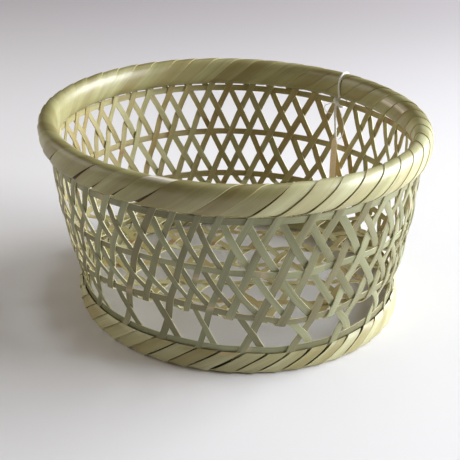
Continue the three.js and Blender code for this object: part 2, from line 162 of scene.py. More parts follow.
STRIP_TOP_Z = RIM_BOTTOM_Z + RIM_TUCK
LEG_BOTTOM_Z = FOOT_HEIGHT - FOOT_TUCK
WALL_FOOT_Z = FOOT_HOOP_Z + HOOP_WIDTH / 2 + CLEARANCE

# Weave
STRIP_PAIRS = 2 * FLOOR_DIRECTIONS * FLOOR_STRIPS_PER_SIDE
PITCH = 360 / STRIP_PAIRS
HALF_PITCH = PITCH / 2
OVER_HOOP = (HOOP_THICKNESS + STRIP_THICKNESS) / 2 + TOUCHING
OVER_CORE = (FOOT_CORE_THICKNESS + STRIP_THICKNESS) / 2 + TOUCHING
OVER_STRIP = STRIP_THICKNESS / 2 + TOUCHING

# Upright bowl in millimetres to leaning bowl in metres
LEAN = Matrix.Identity(4)
LEAN[0][2] = -FOOT_LEAN / RIM_HOOP_TOP_Z
LEAN[0][3] = FOOT_LEAN
SETTLE = Matrix.Scale(MM, 4) @ LEAN

rng = random.Random(24)


def mix(a, b, share):
    return a + (b - a) * share


def ease(share):
    share = min(max(share, 0), 1)
    return share * share * (3 - 2 * share)


def eased(stations, place):
    """The value at a place along (place, value) stations, easing from each to the next."""
    for (here, value), (there, next_value) in zip(stations, stations[1:]):
        if min(here, there) <= place <= max(here, there) and here != there:
            return mix(value, next_value, ease((place - here) / (there - here)))
    first, last = stations[0], stations[-1]
    return first[1] if abs(place - first[0]) < abs(place - last[0]) else last[1]


def straight(stations, place):
    """The value at a place along rising (place, value) stations, going straight from each to the next."""
    for (here, value), (there, next_value) in zip(stations, stations[1:]):
        if here <= place <= there:
            return mix(value, next_value, (place - here) / (there - here))
    return stations[0][1] if place < stations[0][0] else stations[-1][1]


def softened(values, rounds):
    """The same values with their changes spread out over their neighbours."""
    for _ in range(rounds):
        inner = [(a + 2 * b + c) / 4 for a, b, c in zip(values, values[1:], values[2:])]
        values = [values[0]] + inner + [values[-1]]
    return values


def steps(start, end, size):
    """Even places from start to end, about a size apart."""
    count = max(round(abs(end - start) / size), 1)
    return [mix(start, end, i / count) for i in range(count + 1)]


def along_path(points):
    """Distance of each point from the first, along the path."""
    reached = [0.0]
    for a, b in zip(points, points[1:]):
        reached.append(reached[-1] + (b - a).length)
    return reached


def evenly(points, size):
    """The same path in even steps of about a size."""
    reached = along_path(points)
    path = []
    i = 0
    for place in steps(0, reached[-1], size):
        while i < len(points) - 2 and reached[i + 1] < place:
            i += 1
        path.append(points[i].lerp(points[i + 1], (place - reached[i]) / (reached[i + 1] - reached[i])))
    return path


# Places on the bowl
def wall_radius(z):
    t = max((z - WALL_FOOT_Z) / (RIM_BOTTOM_Z - WALL_FOOT_Z), 0)
    return mix(FOOT_RADIUS, RIM_RADIUS, t) + 4 * WALL_BULGE * t * (1 - t)


def around(azimuth, radius, z):
    angle = math.radians(azimuth)
    return Vector((radius * math.cos(angle), radius * math.sin(angle), z))


def on_wall(azimuth, offset, z):
    return around(azimuth, wall_radius(z) + offset, z)


def azimuth_of(point):
    return math.degrees(math.atan2(point.y, point.x))


def out_to_wall(point):
    """A point's share of the way from the middle of the bowl out to its wall."""
    return min(math.hypot(point.x, point.y) / wall_radius(point.z), 1)


def drift_at(azimuth, z):
    down = min(max((UPPER_CROSS_Z - z) / (UPPER_CROSS_Z - LOWER_CROSS_Z), 0), 1)
    return eased(HAND_DRIFT, azimuth) + eased(LOWER_DRIFT, azimuth) * down**LOWER_DRIFT_POWER


def drifted(point):
    """A point of the weave, carried round by the drift, less and less towards the middle of the floor."""
    drift = drift_at(azimuth_of(point), point.z) * out_to_wall(point) ** DRIFT_POWER
    return Matrix.Rotation(math.radians(drift), 3, "Z") @ point


def risen(point):
    """A point raised or lowered with the hoops above and below it."""
    azimuth = azimuth_of(point)
    foot_rise = eased(FOOT_HOOP_RISE, azimuth)
    levels = (
        (0, 0),
        (FOOT_HEIGHT, foot_rise),
        (WALL_FOOT_Z, foot_rise),
        (FLOOR_HOOP_Z, eased(FLOOR_HOOP_RISE, azimuth)),
        (MIDDLE_HOOP_Z, eased(MIDDLE_HOOP_RISE, azimuth)),
        (UPPER_HOOP_Z - HOOP_WIDTH / 2, 0),
    )
    return point + Vector((0, 0, straight(levels, point.z) * out_to_wall(point) ** RISE_POWER))


# Drawing out strips and strings
def draw_out(bm, row, points, closed):
    """Extrudes a row of vertices to its next points."""
    pairs = list(zip(row, row[1:])) + ([(row[-1], row[0])] if closed else [])
    made = bmesh.ops.extrude_edge_only(bm, edges=[bm.edges.get(pair) for pair in pairs])["geom"]
    fresh = {v for v in made if isinstance(v, bmesh.types.BMVert)}
    faces = [f for f in made if isinstance(f, bmesh.types.BMFace)]
    next_row = [next(e.other_vert(v) for e in v.link_edges if e.other_vert(v) in fresh) for v in row]
    for vert, point in zip(next_row, points):
        vert.co = point
    return next_row, faces


def draw_strip(bm, rows, skin, split, finish=0):
    """A strip through rows of points, its skin on the given side where it starts.

    Its map runs in metres along and across it, from a place of its own on the split cane. Its finish
    is the place of its skin in the piece's list of materials.
    """
    uv_layer = bm.loops.layers.uv.verify()
    middle = [row[len(row) // 2] for row in rows]
    reached = along_path(middle)
    row = [bm.verts.new(point) for point in rows[0]]
    for pair in zip(row, row[1:]):
        bm.edges.new(pair)
    place = {}
    faces = []
    for i, points in enumerate(rows):
        if i:
            row, made = draw_out(bm, row, points, False)
            faces += made
        aside = [(point - points[0]).length for point in points]
        for vert, across in zip(row, aside):
            place[vert] = (split[0] + reached[i] * MM, split[1] + across * MM)
    faces[0].normal_update()
    if faces[0].normal.dot(skin) < 0:
        bmesh.ops.reverse_faces(bm, faces=faces)
    for face in faces:
        face.smooth = True
        face.material_index = finish
        for loop in face.loops:
            loop[uv_layer].uv = place[loop.vert]


STRING_SIDES = 12
STRING_WAIST = 0.72


def draw_string(bm, path, aside, radius, lay):
    """A two-ply string along a path, its two lobes turning once in each lay."""
    uv_layer = bm.loops.layers.uv.verify()
    sides = STRING_SIDES
    reached = along_path(path)
    rings = []
    for i, point in enumerate(path):
        forward = (path[min(i + 1, len(path) - 1)] - path[max(i - 1, 0)]).normalized()
        normal = forward.cross(aside).normalized()
        beside = normal.cross(forward)
        turned = 2 * math.pi * reached[i] / lay
        ring = []
        for k in range(sides):
            angle = 2 * math.pi * k / sides
            reach = radius * mix(STRING_WAIST, 1, abs(math.cos(angle - turned)))
            ring.append(point + beside * reach * math.cos(angle) + normal * reach * math.sin(angle))
        rings.append(ring)
    row = [bm.verts.new(point) for point in rings[0]]
    for pair in zip(row, row[1:] + row[:1]):
        bm.edges.new(pair)
    ends = [list(row)]
    place = {vert: (0, k / sides) for k, vert in enumerate(row)}
    for i, ring in enumerate(rings[1:], 1):
        row, made = draw_out(bm, row, ring, True)
        for k, vert in enumerate(row):
            place[vert] = (reached[i] * MM, k / sides)
        for face in made:
            face.smooth = True
            for loop in face.loops:
                loop[uv_layer].uv = place[loop.vert]
    ends.append(list(row))
    for end in ends:
        bmesh.ops.contextual_create(bm, geom=[bm.edges.get(pair) for pair in zip(end, end[1:] + end[:1])])
    bmesh.ops.recalc_face_normals(bm, faces=bm.faces)


def finish_piece(name, bm, materials, body, nodes):
    """Settles a mesh in the leaning bowl, in metres, as the piece that stands for these nodes."""
    for vert in bm.verts:
        vert.co = risen(vert.co)
    bmesh.ops.transform(bm, matrix=SETTLE, verts=bm.verts)
    mesh = bpy.data.meshes.new(name)
    bm.to_mesh(mesh)
    bm.free()
    for material in materials:
        mesh.materials.append(material)
    piece = bpy.data.objects.new(name, mesh)
    bpy.context.scene.collection.objects.link(piece)
    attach(piece, body)
    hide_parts(*nodes)
    return piece


# Places in a piece's list of materials, counted from its skin
FLESH_PLACE = 1
EDGE_PLACE = 2
EDGE_SEGMENTS = 2


def give_thickness(piece, thickness, eased_edge, pale_edge=False):
    """Skin outside, flesh inside and cut edges between.

    The edges are eased, and where they are pale they have the finish of the cut edge.
    """
    solid = piece.modifiers.new("thickness", "SOLIDIFY")
    solid.thickness = thickness * MM
    solid.offset = 0
    solid.use_even_offset = True
    solid.material_offset = FLESH_PLACE
    solid.material_offset_rim = EDGE_PLACE
    bevel = piece.modifiers.new("eased_edges", "BEVEL")
    bevel.width = eased_edge * MM
    bevel.segments = EDGE_SEGMENTS
    bevel.limit_method = "ANGLE"
    bevel.harden_normals = True
    if pale_edge:
        bevel.material = EDGE_PLACE


# Materials
def material_nodes(name):
    material = bpy.data.materials.new(name)
    material.use_nodes = True
    return material, material.node_tree.nodes, material.node_tree.links


def add(nodes, kind, **settings):
    node = nodes.new(kind)
    for key, value in settings.items():
        setattr(node, key, value)
    return node


def stretched_noise(nodes, links, coordinate, scale, detail=3.0):
    """Noise that is drawn out along the strip: scale per metre along, across and through it."""
    mapping = add(nodes, "ShaderNodeMapping")
    mapping.inputs["Scale"].default_value = scale
    noise = add(nodes, "ShaderNodeTexNoise")
    noise.inputs["Scale"].default_value = 1.0
    noise.inputs["Detail"].default_value = detail
    links.new(coordinate, mapping.inputs["Vector"])
    links.new(mapping.outputs["Vector"], noise.inputs["Vector"])
    return noise.outputs["Fac"]


def ramp(nodes, links, factor, stops):
    node = add(nodes, "ShaderNodeValToRGB")
    elements = node.color_ramp.elements
    while len(elements) < len(stops):
        elements.new(0.5)
    for element, (position, color) in zip(elements, stops):
        element.position = position
        element.color = (*color, 1)
    links.new(factor, node.inputs["Fac"])
    return node.outputs["Color"]


def blend_color(nodes, links, factor, first, second, kind="MIX"):
    node = add(nodes, "ShaderNodeMix", data_type="RGBA", blend_type=kind)
    for socket, value in (("Factor", factor), ("A", first), ("B", second)):
        target = next(s for s in node.inputs if s.name == socket and s.enabled)
        if isinstance(value, bpy.types.NodeSocket):
            links.new(value, target)
        else:
            target.default_value = (*value, 1) if isinstance(value, tuple) else value
    return next(s for s in node.outputs if s.enabled)


def srgb(red, green, blue):
    """A colour named by its screen values, 0 to 255, as the shaders take it."""
    def linear(value):
        value /= 255
        return value / 12.92 if value <= 0.04045 else ((value + 0.055) / 1.055) ** 2.4
    return tuple(linear(v) for v in (red, green, blue))


def grey(value):
    return (value, value, value)


def emboss(nodes, links, shader, height, strength):
    """A fine relief on a finish."""
    bump = add(nodes, "ShaderNodeBump")
    bump.inputs["Strength"].default_value = strength
    bump.inputs["Distance"].default_value = RELIEF_DEPTH
    links.new(height, bump.inputs["Height"])
    links.new(bump.outputs["Normal"], shader.inputs["Normal"])


# Noises of the cane: their scale per metre along, across and through it, and their detail
FIBRES = ((18, 2200, 900), 4.0)
TONES = ((9, 60, 60), 2.0)
HUES = ((6.3, 43, 43), 1.0)
STREAKS = ((22, 240, 200), 3.0)

# Where in a noise each change of colour begins and ends, and how far it goes
NOISE_LOW = 0.3
NOISE_HIGH = 0.7
HUE_FROM = 0.42
HUE_TO = 0.68
HUE_SHARE = 0.85
STAIN_FROM = 0.56
STAIN_TO = 0.74
FIBRE_DARK = 0.72
FIBRE_LIGHT = 1.12
SMOOTHER = 0.08
ROUGHER = 0.1
FIBRE_RELIEF = 0.25
RELIEF_DEPTH = 0.0001

# Joints of the cane: their spacing in metres, and their strength by the share of the way to the next
JOINT_SPACING = 0.31
JOINT_STOPS = (
    (0.0, grey(0.9)),
    (0.007, grey(0.75)),
    (0.014, grey(0)),
    (0.986, grey(0)),
    (0.994, grey(0.45)),
)


def joint_strength(nodes, links, coordinate):
    """How strongly a joint of the cane shows at each place along it."""
    split = add(nodes, "ShaderNodeSeparateXYZ")
    links.new(coordinate, split.inputs["Vector"])
    lengths = add(nodes, "ShaderNodeMath", operation="DIVIDE")
    lengths.inputs[1].default_value = JOINT_SPACING
    links.new(split.outputs["X"], lengths.inputs[0])
    within = add(nodes, "ShaderNodeMath", operation="FRACT")
    links.new(lengths.outputs["Value"], within.inputs[0])
    return ramp(nodes, links, within.outputs["Value"], JOINT_STOPS)


def bamboo(
    name, dark, light, other, stain, joint, stain_share, roughness, grain, sheen=0.5, on_object=False
):
    """Split bamboo: fine fibres along it, slow changes of tone, stained streaks and a joint now and then."""
    material, nodes, links = material_nodes(name)
    shader = nodes["Principled BSDF"]
    coordinate = add(nodes, "ShaderNodeTexCoord").outputs["Object" if on_object else "UV"]
    fibres = stretched_noise(nodes, links, coordinate, *FIBRES)
    tone = stretched_noise(nodes, links, coordinate, *TONES)
    streaks = stretched_noise(nodes, links, coordinate, *STREAKS)
    hue = stretched_noise(nodes, links, coordinate, *HUES)
    base = ramp(nodes, links, tone, ((NOISE_LOW, dark), (NOISE_HIGH, light)))
    share = ramp(nodes, links, hue, ((HUE_FROM, grey(0)), (HUE_TO, grey(HUE_SHARE))))
    base = blend_color(nodes, links, share, base, other)
    shade = ramp(nodes, links, fibres, ((NOISE_LOW, grey(FIBRE_DARK)), (NOISE_HIGH, grey(FIBRE_LIGHT))))
    base = blend_color(nodes, links, grain, base, shade, "MULTIPLY")
    stained = ramp(nodes, links, streaks, ((STAIN_FROM, grey(0)), (STAIN_TO, grey(stain_share))))
    base = blend_color(nodes, links, stained, base, stain)
    if not on_object:
        base = blend_color(nodes, links, joint_strength(nodes, links, coordinate), base, joint)
    links.new(base, shader.inputs["Base Color"])
    shader.inputs["Specular IOR Level"].default_value = sheen
    rough = add(nodes, "ShaderNodeMapRange")
    rough.inputs["To Min"].default_value = roughness - SMOOTHER
    rough.inputs["To Max"].default_value = roughness + ROUGHER
    links.new(fibres, rough.inputs["Value"])
    links.new(rough.outputs["Result"], shader.inputs["Roughness"])
    emboss(nodes, links, shader, fibres, FIBRE_RELIEF)
    return material


SKIN = bamboo(
    "bamboo_skin",
    dark=srgb(122, 122, 86),
    light=srgb(173, 174, 134),
    other=srgb(127, 118, 82),
    stain=srgb(112, 94, 64),
    joint=srgb(190, 170, 136),
    stain_share=0.45,
    roughness=0.4,
    grain=0.65,
)
FLESH = bamboo(
    "bamboo_flesh",
    dark=srgb(156, 145, 88),
    light=srgb(196, 190, 144),
    other=srgb(168, 145, 90),
    stain=srgb(146, 106, 60),
    joint=srgb(152, 114, 72),
    stain_share=0.6,
    roughness=0.6,
    grain=0.65,
)
CUT_EDGE = bamboo(
    "bamboo_cut_edge",
    dark=srgb(216, 210, 164),
    light=srgb(238, 234, 198),
    other=srgb(228, 214, 170),
    stain=srgb(182, 162, 108),
    joint=srgb(194, 162, 112),
    stain_share=0.3,
    roughness=0.6,
    grain=0.4,
)
RIM_SKIN = bamboo(
    "rim_wrap_skin",
    dark=srgb(145, 137, 84),
    light=srgb(180, 175, 126),
    other=srgb(139, 125, 75),
    stain=srgb(112, 84, 46),
    # near white: the joint's own pale colour with a painted highlight on its ridge
    joint=srgb(252, 240, 228),
    stain_share=0.3,
    roughness=0.36,
    grain=0.7,
    sheen=0.75,
)
# A paler copy of the rim's skin: painted light for the window's broad glow on the front right of the rim
PAINTED_LIGHT_RIM_SKIN = bamboo(
    "painted_light_rim_wrap_skin",
    dark=srgb(170, 165, 112),
    light=srgb(206, 203, 156),
    other=srgb(178, 166, 114),
    stain=srgb(150, 126, 82),
    # near white: the joint's own pale colour with a painted highlight on its ridge
    joint=srgb(252, 240, 228),
    stain_share=0.3,
    roughness=0.36,
    grain=0.6,
    sheen=0.75,
)
FOOT_SKIN = bamboo(
    "foot_wrap_skin",
    dark=srgb(170, 162, 112),
    light=srgb(206, 203, 162),
    other=srgb(162, 148, 96),
    stain=srgb(140, 118, 68),
    joint=srgb(198, 176, 130),
    stain_share=0.45,
    roughness=0.42,
    grain=0.5,
    sheen=0.5,
)
# The hidden core's own colour is not known: it is dark as painted shade for the gaps between the wraps, where
# it shows
CORE = bamboo(
    "bamboo_core",
    dark=srgb(88, 76, 48),
    light=srgb(112, 100, 64),
    other=srgb(92, 76, 46),
    stain=srgb(70, 56, 34),
    joint=srgb(92, 74, 48),
    stain_share=0.6,
    roughness=0.65,
    grain=0.9,
    on_object=True,
)
STRIP_MATERIALS = (SKIN, FLESH, CUT_EDGE)
RIM_MATERIALS = (RIM_SKIN, FLESH, FLESH, PAINTED_LIGHT_RIM_SKIN, FLESH, FLESH)
FOOT_MATERIALS = (FOOT_SKIN, FLESH, FOOT_SKIN)
PAINTED_LIGHT_FINISH = RIM_MATERIALS.index(PAINTED_LIGHT_RIM_SKIN)


def matt(name, noise, dark, light, roughness, relief):
    """A matt finish with a fine grain that is the same every way."""
    material, nodes, links = material_nodes(name)
    shader = nodes["Principled BSDF"]
    coordinate = add(nodes, "ShaderNodeTexCoord").outputs["Object"]
    grain = stretched_noise(nodes, links, coordinate, *noise)
    color = ramp(nodes, links, grain, ((NOISE_LOW, dark), (NOISE_HIGH, light)))
    links.new(color, shader.inputs["Base Color"])
    shader.inputs["Roughness"].default_value = roughness
    emboss(nodes, links, shader, grain, relief)
    return material


COTTON = matt(
    "white_cotton",
    noise=((6000, 6000, 6000), 3.0),
    dark=srgb(226, 222, 212),
    light=srgb(252, 250, 246),
    roughness=0.9,
    relief=0.4,
)
CARD = matt(
    "tan_card",
    noise=((900, 900, 900), 5.0),
    dark=srgb(226, 200, 160),
    light=srgb(242, 222, 186),
    roughness=0.8,
    relief=0.2,
)
CARD_MATERIALS = (CARD, CARD, CARD)


# Slant and weave of the wall
def turn_at(z):
    neighbour = UPPER_CROSS_Z if z > MIDDLE_CROSS_Z else LOWER_CROSS_Z
    return HALF_PITCH * (z - MIDDLE_CROSS_Z) / abs(neighbour - MIDDLE_CROSS_Z)


def level_of_turn(turn):
    neighbour = UPPER_CROSS_Z if turn > 0 else LOWER_CROSS_Z
    return MIDDLE_CROSS_Z + turn * abs(neighbour - MIDDLE_CROSS_Z) / HALF_PITCH


def slant_at(z):
    neighbour = UPPER_CROSS_Z if z > MIDDLE_CROSS_Z else LOWER_CROSS_Z
    return math.atan(math.radians(HALF_PITCH) * wall_radius(z) / abs(neighbour - MIDDLE_CROSS_Z))


def cross_reach(z):
    return STRIP_WIDTH / 2 / math.sin(slant_at(z)) + CROSS_MARGIN


def wall_stations(is_leg, rising):
    """Heights and offsets of a strip down the wall, level past each hoop and over each crossing."""
    side = 1 if rising else -1
    beside_hoop = LEG_TO_FLOOR_STRIP / 2 if is_leg == rising else HALF_PITCH - LEG_TO_FLOOR_STRIP / 2
    half_hoop = HOOP_WIDTH / 2 + CLEARANCE

    def flat(hoop_z, turn):
        cross = level_of_turn(turn)
        reach = cross_reach(cross)
        return max(hoop_z + half_hoop, cross + reach), min(hoop_z - half_hoop, cross - reach)

    over = side * OVER_HOOP
    under = -side * OVER_STRIP
    middle_top, middle_bottom = flat(MIDDLE_HOOP_Z, beside_hoop)
    upper_bottom = flat(UPPER_HOOP_Z, beside_hoop + HALF_PITCH)[1]
    floor_top = flat(FLOOR_HOOP_Z, beside_hoop - HALF_PITCH)[0]
    stations = [
        (STRIP_TOP_Z, over),
        (upper_bottom, over),
        (UPPER_CROSS_Z + cross_reach(UPPER_CROSS_Z), under),
        (UPPER_CROSS_Z - cross_reach(UPPER_CROSS_Z), under),
        (middle_top, over),
        (middle_bottom, over),
        (MIDDLE_CROSS_Z + cross_reach(MIDDLE_CROSS_Z), under),
        (MIDDLE_CROSS_Z - cross_reach(MIDDLE_CROSS_Z), under),
        (floor_top, over),
        (FLOOR_HOOP_Z - half_hoop, over),
    ]
    if is_leg:
        stations += [
            (LOWER_CROSS_Z + cross_reach(LOWER_CROSS_Z), under),
            (LOWER_CROSS_Z - cross_reach(LOWER_CROSS_Z), under),
            (FOOT_HOOP_Z + half_hoop, over),
            (FOOT_HOOP_Z - half_hoop, over),
            (LEG_BOTTOM_Z, side * OVER_CORE),
        ]
    return stations


WALL_STEP = 1.5
WALL_SOFTENING = 5
WIDTHS = (0.93, 1.06)
TWIST = 0.13
TWIST_LENGTH = 55
CANE_LENGTH = 3
CANE_SPLITS = 20


def wall_rows(crossing, is_leg, rising, bottom):
    """Rows across a strip from the rim down: its far edge, its crowned middle and its near edge."""
    stations = wall_stations(is_leg, rising)
    levels = steps(STRIP_TOP_Z, bottom, WALL_STEP)
    offsets = softened([eased(stations, z) for z in levels], WALL_SOFTENING)
    width = STRIP_WIDTH * rng.uniform(*WIDTHS)
    start = rng.uniform(0, TWIST_LENGTH)
    rows = []
    for z, offset in zip(levels, offsets):
        azimuth = crossing + (1 if rising else -1) * turn_at(z)
        half = math.degrees(width / 2 / math.cos(slant_at(z)) / wall_radius(z))
        twist = TWIST * math.sin(2 * math.pi * (start + z) / TWIST_LENGTH)
        rows.append(
            [
                drifted(on_wall(azimuth + half, offset + twist, z)),
                drifted(on_wall(azimuth, offset + STRIP_CROWN, z)),
                drifted(on_wall(azimuth - half, offset - twist, z)),
            ]
        )
    return rows


def split_from_cane():
    """A place of its own on the cane: where along it, and on which of its splits."""
    return rng.uniform(0, CANE_LENGTH), rng.uniform(0, CANE_SPLITS)


# Legs
def leg(bm, crossing, rising):
    rows = wall_rows(crossing, True, rising, LEG_BOTTOM_Z)
    azimuth = crossing + (1 if rising else -1) * turn_at(STRIP_TOP_Z)
    draw_strip(bm, rows, around(azimuth, 1, 0), split_from_cane())


def leg_pair(index):
    """The rising and the falling leg that cross in the lower tier."""
    crossing = WEAVE_TURN - LEG_TO_FLOOR_STRIP + index * PITCH
    bm = bmesh.new()
    leg(bm, crossing, True)
    leg(bm, crossing - PITCH, False)
    number = f"{index + 1:02d}"
    pair = finish_piece(
        f"woven_legs_{number}",
        bm,
        STRIP_MATERIALS,
        "basket",
        [f"leg_pair_{number}"],
    )
    give_thickness(pair, STRIP_THICKNESS, EASED_EDGE)


# Floor strips
FOLD_TURN = -turn_at(FOLD_Z)
FLOOR_RADIUS = wall_radius(FOLD_Z)
CROSS_ANGLE = math.pi / FLOOR_DIRECTIONS
FLOOR_REACH = STRIP_WIDTH / 2 * (1 / math.tan(CROSS_ANGLE) + 1 / math.sin(CROSS_ANGLE)) + CROSS_MARGIN
FLOOR_STEP = 1.8
FOLD_RUN = 7
FOLD_DOWN = 2.4
FOLD_IN = 4.5
FOLD_STEPS = 8
CROSSING_STEPS = 10


def fold_angle(index):
    return math.radians(FOLD_TURN + index * PITCH)


OUTER_STRIP = FLOOR_STRIPS_PER_SIDE - 1
FLOOR_PITCH = FLOOR_RADIUS * math.sin(fold_angle(OUTER_STRIP)) / (OUTER_STRIP + 0.5)


class FloorStrip:
    """One strip of the floor: its direction, its side of the middle and its place on that side."""

    def __init__(self, direction, side, index):
        self.direction = direction
        self.side = side
        self.index = index
        self.heading = WEAVE_TURN + direction * 180 / FLOOR_DIRECTIONS
        self.along = around(self.heading, 1, 0)
        self.across = around(self.heading + 90, 1, 0)
        self.half_length = FLOOR_RADIUS * math.cos(fold_angle(index))
        self.heights = []

    def sideways(self, place):
        at_middle = (self.index + 0.5) * FLOOR_PITCH
        at_fold = FLOOR_RADIUS * math.sin(fold_angle(self.index))
        return self.side * mix(at_middle, at_fold, min(abs(place) / self.half_length, 1) ** DRAW_POWER)

    def crossing_with(self, other):
        """Where it crosses another strip, from its own middle, whether on the floor, and whether over it."""
        cosine = self.along.dot(other.along)
        sine = self.along.dot(other.across)
        place = 0
        other_place = 0
        for _ in range(CROSSING_STEPS):
            here = self.sideways(place)
            there = other.sideways(other_place)
            place = (there - here * cosine) / sine
            other_place = (there * cosine - here) / sine
        inside = math.hypot(place, self.sideways(place)) < FLOOR_RADIUS - STRIP_WIDTH / 2
        over = (other.direction - self.direction) % FLOOR_DIRECTIONS == 1
        return place, inside, over

    def weave(self, strips):
        crossings = [self.crossing_with(other) for other in strips if other.direction != self.direction]
        for place, inside, over in sorted(crossings):
            if inside:
                height = OVER_STRIP if over else -OVER_STRIP
                self.heights += [(place - FLOOR_REACH, height), (place + FLOOR_REACH, height)]

    def row(self, place):
        middle = self.along * place + self.across * self.sideways(place)
        middle.z = FOLD_Z + eased(self.heights, place)
        to_edge = self.across * (STRIP_WIDTH / 2)
        row = [middle - to_edge, middle - Vector((0, 0, STRIP_CROWN)), middle + to_edge]
        return [drifted(point) for point in row]

    def floor_rows(self):
        end = self.half_length - FOLD_RUN
        return [self.row(place) for place in steps(-end, end, FLOOR_STEP)]

    def wall_rows(self, far_end):
        """Rows from the rim down to the hoop at one end, in the order of the strip's own edges."""
        rising = (self.side > 0) != far_end
        way = self.side if far_end else -self.side
        crossing = self.heading + (0 if far_end else 180) + way * self.index * PITCH
        rows = wall_rows(crossing, False, rising, FLOOR_HOOP_Z - HOOP_WIDTH / 2)
        return [row[::-1] for row in rows] if far_end else rows


def bend(before, after, share):
    """A row of the bend from the last of the rows before it to the first of the rows after it."""
    row = []
    for back, start, end, ahead in zip(before[-2], before[-1], after[0], after[1]):
        leaving = start + (start - back).normalized() * FOLD_DOWN
        coming = end - (ahead - end).normalized() * FOLD_IN
        first = start.lerp(leaving, share)
        second = leaving.lerp(coming, share)
        third = coming.lerp(end, share)
        row.append(first.lerp(second, share).lerp(second.lerp(third, share), share))
    return row


def fold(before, after):
    return [bend(before, after, i / FOLD_STEPS) for i in range(1, FOLD_STEPS)]


def floor_strip(strip, index):
    near = strip.wall_rows(False)
    floor = strip.floor_rows()
    far = strip.wall_rows(True)[::-1]
    rows = near + fold(near, floor) + floor + fold(floor, far) + far
    outward = Vector((near[0][1].x, near[0][1].y, 0))
    bm = bmesh.new()
    draw_strip(bm, rows, outward, split_from_cane())
    number = f"{index + 1:02d}"
    piece = finish_piece(
        f"woven_floor_strip_{number}",
        bm,
        STRIP_MATERIALS,
        "basket",
        [f"floor_strip_{number}"],
    )
    give_thickness(piece, STRIP_THICKNESS, EASED_EDGE)


# Hoops, each a flat strip whose ends lie one on the other
HOOP_LAP = 16
HOOP_LAP_OFFSET = 0.36
HOOP_LAP_EASE = 6
HOOP_STEP = 1.5


def flat_hoop(name, z, lap_at):
    bm = bmesh.new()
    offsets = [
        (0, -HOOP_LAP_OFFSET),
        (HOOP_LAP, -HOOP_LAP_OFFSET),
        (HOOP_LAP + HOOP_LAP_EASE, 0),
        (360 - HOOP_LAP_EASE, 0),
        (360, HOOP_LAP_OFFSET),
        (360 + HOOP_LAP, HOOP_LAP_OFFSET),
    ]
    rows = []
    for turn in steps(0, 360 + HOOP_LAP, HOOP_STEP):
        offset = eased(offsets, turn)
        rows.append([on_wall(lap_at + turn, offset, z + rise * HOOP_WIDTH / 2) for rise in (1, 0, -1)])
    draw_strip(bm, rows, around(lap_at, 1, 0), split_from_cane())
    hoop = finish_piece(f"flat_{name}", bm, STRIP_MATERIALS, "basket", [name])
    give_thickness(hoop, HOOP_THICKNESS, EASED_EDGE)


# Wraps of the rim and of the foot
WRAPS = 48
WRAP_THICKNESS = 0.5
RIM_WRAP_THICKNESS = 0.7
WRAP_EASED_EDGE = 0.07
WRAP_STEP = 1.4
WRAP_ACROSS = (-0.5, -0.42, -0.25, 0, 0.25, 0.42, 0.5)
RIM_WRAP_HALF_WIDTH = 5.3
RIM_WRAP_HALF_HEIGHT = 8.4
RIM_SQUARENESS = 2.6
RIM_WRAP_SLANT = 38
RIM_WRAP_WIDTH = 8.4
RIM_GAP_REACH = 0.6
RIM_EASED_EDGE = 0.28
RIM_WRAP_START = -1.3
RIM_WRAP_CROWN = 0.3
RIM_WRAP_STRAY = 0.35
RIM_SLANT_STRAY = 0.6
RIM_LIFT_STRAY = 0.06
RIM_END_OFFSET = 2.2
FOOT_WRAP_HALF_WIDTH = 2.95
FOOT_WRAP_TOP = 15.8
FOOT_SQUARENESS_UP = 3.0
FOOT_SQUARENESS_DOWN = 4.0
FOOT_WRAP_SLANT = 36
FOOT_WRAP_WIDTH = 7.5
FOOT_WRAP_START = -1.5
FOOT_WRAP_STRAY = 0.25
FOOT_SLANT_STRAY = 0.8
FOOT_WRAP_CROWN = 0.5
FOOT_WRAP_TILT = 0.75
FOOT_WRAP_LAP = 0.05
FOOT_GAP_FROM = 0.36
FOOT_GAP_REACH = 0.1
FOOT_END_OFFSET = 1.3
SECTION_STEPS = 240


def rounded(angle, half_width, half_height, squareness):
    """A point of a rounded section, turned from its top towards its outer side."""
    across = math.copysign(abs(math.sin(angle)) ** (2 / squareness), math.sin(angle))
    up = math.copysign(abs(math.cos(angle)) ** (2 / squareness), math.cos(angle))
    return Vector((half_width * across, 0, half_height * up))


def rim_section():
    """Round the rim from its outer underside, over the top, to its inner underside."""
    points = []
    for i in range(SECTION_STEPS + 1):
        angle = mix(math.pi, -math.pi, i / SECTION_STEPS)
        point = rounded(angle, RIM_WRAP_HALF_WIDTH, RIM_WRAP_HALF_HEIGHT, RIM_SQUARENESS)
        if point.z > 0 or abs(point.x) > RIM_END_OFFSET:
            points.append(point + Vector((0, 0, RIM_MIDDLE_Z)))
    return evenly(points, WRAP_STEP)


def crown(across):
    """How far a crowned strip stands out: a half at its middle, nothing at its edges."""
    return 0.5 - 2 * across * across


def foot_wrap_lift(across):
    return FOOT_WRAP_CROWN * crown(across) - FOOT_WRAP_TILT * across


def foot_section():
    """Round the foot from its outer top edge, under it, to its inner top edge."""
    low = WRAP_THICKNESS / 2 + max(foot_wrap_lift(across) for across in WRAP_ACROSS)
    half_height = (FOOT_WRAP_TOP - WRAP_THICKNESS / 2 - low) / 2
    points = []
    for i in range(SECTION_STEPS + 1):
        angle = mix(0, 2 * math.pi, i / SECTION_STEPS)
        squareness = FOOT_SQUARENESS_UP if math.cos(angle) > 0 else FOOT_SQUARENESS_DOWN
        point = rounded(angle, FOOT_WRAP_HALF_WIDTH, half_height, squareness)
        if point.z < 0 or abs(point.x) > FOOT_END_OFFSET:
            points.append(point + Vector((0, 0, low + half_height)))
    return evenly(points, WRAP_STEP)


